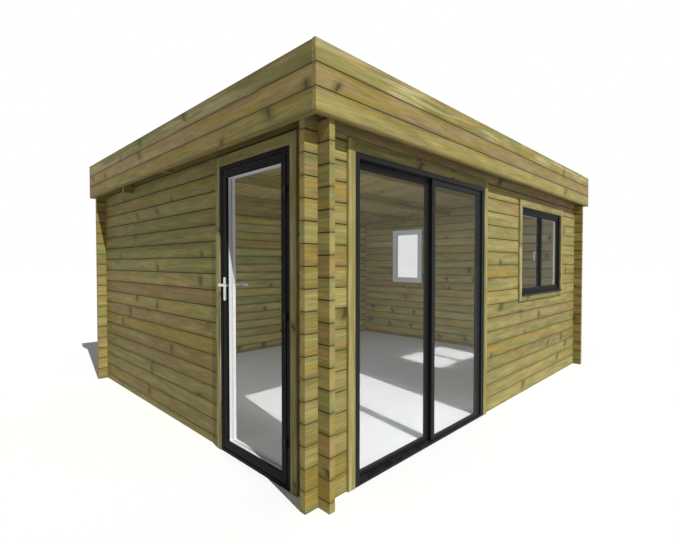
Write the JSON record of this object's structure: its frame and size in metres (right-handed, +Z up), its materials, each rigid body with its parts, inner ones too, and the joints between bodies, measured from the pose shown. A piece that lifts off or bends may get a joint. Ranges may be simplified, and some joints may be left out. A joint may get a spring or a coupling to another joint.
{
  "type": "garden office log cabin",
  "caption": "Flat-roofed log-built garden office with crossed log corners, a boxed fascia, a glazed side door, a glazed sliding front door and casement windows.",
  "frame": {"origin": "middle of the plan, on the ground", "axes": "+X along the front wall to the right, +Y from the front wall to the back wall, +Z up"},
  "size_m": [5.26, 4.26, 2.6618],
  "materials": {
    "log_wood": "pressure-treated pine, planed, greenish brown with knots",
    "fascia_wood": "pressure-treated pine boards, planed",
    "roof_wood": "planed softwood roof boards",
    "roof_membrane": "matt black roofing sheet",
    "floor_board": "pale grey painted floor boards",
    "trim_wood": "pressure-treated pine trim boards",
    "dark_frame": "anthracite outside and white inside, fine grain",
    "dark_aluminium": "anthracite powder coat, fine texture",
    "glass": "clear glazing",
    "handle_steel": "satin stainless steel",
    "hinge_metal": "anthracite powder coat",
    "white_handle": "white moulded handle",
    "runner_plastic": "black nylon runner"
  },
  "bodies": {
    "cabin": {"front_wall_left": "log_wood", "front_wall_over_sliding_door": "log_wood", "front_wall_right": "log_wood", "front_wall_top": "log_wood", "back_wall": "log_wood", "left_wall_front": "log_wood", "left_wall_over_door": "log_wood", "left_wall_rear": "log_wood", "left_wall_top": "log_wood", "right_wall": "log_wood", "right_wall_top": "log_wood", "purlins": "log_wood", "fascia_front": "fascia_wood", "fascia_back": "fascia_wood", "fascia_left": "fascia_wood", "fascia_right": "fascia_wood", "fascia_battens": "fascia_wood", "roof_deck": "roof_wood", "roof_membrane": "roof_membrane", "floor": "floor_board", "door_trim": "trim_wood", "sliding_door_trim": "trim_wood", "front_window_trim": "trim_wood", "right_window_trim": "trim_wood", "door_frame": "dark_frame", "front_window_frame": "dark_frame", "front_window_sashes": "dark_frame", "front_window_sill": "dark_frame", "right_window_frame": "dark_frame", "right_window_sashes": "dark_frame", "right_window_sill": "dark_frame", "sliding_door_frame": "dark_aluminium", "sliding_door_fixed_panel": "dark_aluminium", "sliding_door_fixed_glass": "glass", "front_window_glass": "glass", "right_window_glass": "glass", "door_hinge_pins": "hinge_metal", "front_window_handle": "white_handle", "right_window_handle": "white_handle"},
    "door": {"door_leaf": "dark_frame", "door_glass": "glass", "door_hinge_knuckles": "hinge_metal", "door_handle_outside": "handle_steel", "door_handle_inside": "handle_steel"},
    "sliding_panel": {"sliding_door_moving_panel": "dark_aluminium", "sliding_door_moving_glass": "glass", "sliding_door_runners": "runner_plastic"}
  },
  "joints": [
    {"name": "door_swing", "type": "hinge", "parent": "cabin", "child": "door", "pos_m": [-2.522, -1.722, 1.087], "axis": [0, 0, 1], "range_deg": [0, 90]},
    {"name": "panel_slide", "type": "slide", "parent": "cabin", "child": "sliding_panel", "axis": [1, 0, 0], "range_m": [0, 0.78]}
  ]
}
